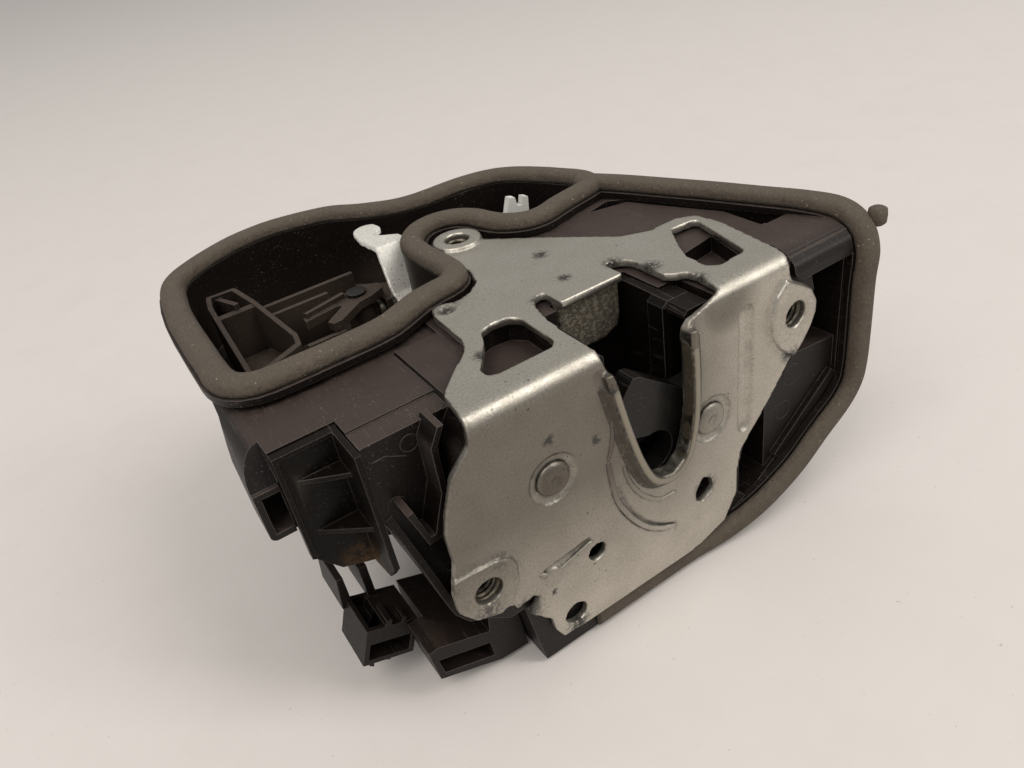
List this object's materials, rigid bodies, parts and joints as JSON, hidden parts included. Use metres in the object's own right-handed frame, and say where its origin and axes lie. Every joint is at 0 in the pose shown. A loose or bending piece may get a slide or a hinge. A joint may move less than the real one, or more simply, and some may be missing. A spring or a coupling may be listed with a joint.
{
  "type": "car door lock",
  "caption": "Car side-door lock: folded steel latch plate with an open striker slot, rotary fork and pawl, dark plastic housing, open lever tray and foam seal bead.",
  "frame": {"origin": "virtual corner of the latch plate, where the planes of its flange and its end face meet, at the middle of the striker slot's width", "axes": "+Z is the outward normal of the plate's flange (up as the part rests), the end face looks along -Y, +X runs along the bend"},
  "size_m": [0.1535, 0.1314, 0.0818],
  "materials": {
    "plated_steel": "zinc plated, worn and specked",
    "foam_rubber": "soft foam, dusty",
    "housing_plastic": "dark moulded plastic, scuffed",
    "coated_steel": "dark coating",
    "spring_steel": "plain wire",
    "glossy_plastic": "glossy black",
    "black_rubber": "plain",
    "bright_zinc": "bright zinc, stained",
    "white_plastic": "plain",
    "brass": "plain"
  },
  "bodies": {
    "lock_body": {"latch_plate": "plated_steel", "foam_seal": "foam_rubber", "housing": "housing_plastic", "fork_rivet": "plated_steel", "pawl_rivet": "plated_steel", "pivot_plate": "plated_steel", "fork_spring": "spring_steel", "pawl_spring": "spring_steel", "mouth_liner": "glossy_plastic", "striker_buffer": "black_rubber", "hook_pin": "plated_steel", "lock_pin": "plated_steel", "cable_pin": "coated_steel", "cable_clip": "housing_plastic", "corner_bracket": "glossy_plastic", "connector_shroud": "housing_plastic", "connector_terminals": "brass", "back_cover": "housing_plastic", "cover_screw_1": "plated_steel", "cover_screw_2": "plated_steel", "cover_screw_3": "plated_steel", "cover_screw_4": "plated_steel", "motor": "plated_steel", "wheel_pin": "plated_steel", "latch_switch": "glossy_plastic", "lock_switch": "glossy_plastic"},
    "fork": {"fork": "coated_steel"},
    "pawl": {"pawl": "coated_steel"},
    "hook_lever": {"hook_lever": "bright_zinc"},
    "lock_lever": {"lock_lever": "white_plastic"},
    "cable_lever": {"cable_lever": "housing_plastic"},
    "worm": {"worm": "brass"},
    "worm_wheel": {"worm_wheel": "white_plastic"}
  },
  "joints": [
    {"name": "fork_pivot", "type": "hinge", "parent": "lock_body", "child": "fork", "pos_m": [0.015, 0, -0.0322], "axis": [0, 1, 0], "range_deg": [0, 60]},
    {"name": "pawl_pivot", "type": "hinge", "parent": "lock_body", "child": "pawl", "pos_m": [-0.0289, 0, -0.0235], "axis": [0, 1, 0], "range_deg": [0, 20]},
    {"name": "hook_lever_pivot", "type": "hinge", "parent": "lock_body", "child": "hook_lever", "pos_m": [-0.0168, 0.0858, -0.0178], "axis": [1, 0, 0], "range_deg": [-18, 0], "stiffness_Nm_per_rad": 0.02, "springref_deg": 5.73},
    {"name": "lock_lever_pivot", "type": "hinge", "parent": "lock_body", "child": "lock_lever", "pos_m": [0.018, 0.08015, -0.0158], "axis": [0, 1, 0], "range_deg": [0, 22]},
    {"name": "cable_lever_pivot", "type": "hinge", "parent": "lock_body", "child": "cable_lever", "pos_m": [-0.0318, 0.0856, -0.0117], "axis": [0, 0, 1], "range_deg": [0, 12]},
    {"name": "worm_shaft", "type": "hinge", "parent": "lock_body", "child": "worm", "pos_m": [0, 0.058, -0.04], "axis": [1, 0, 0], "range_deg": [0, 1800]},
    {"name": "wheel_shaft", "type": "hinge", "parent": "lock_body", "child": "worm_wheel", "pos_m": [-0.002, 0.058, -0.0562], "axis": [0, 1, 0], "range_deg": [0, 60]}
  ],
  "couplings": [
    {"joint": "pawl_pivot", "follows": "fork_pivot", "ratio": 0.333},
    {"joint": "wheel_shaft", "follows": "worm_shaft", "ratio": 0.0333}
  ]
}
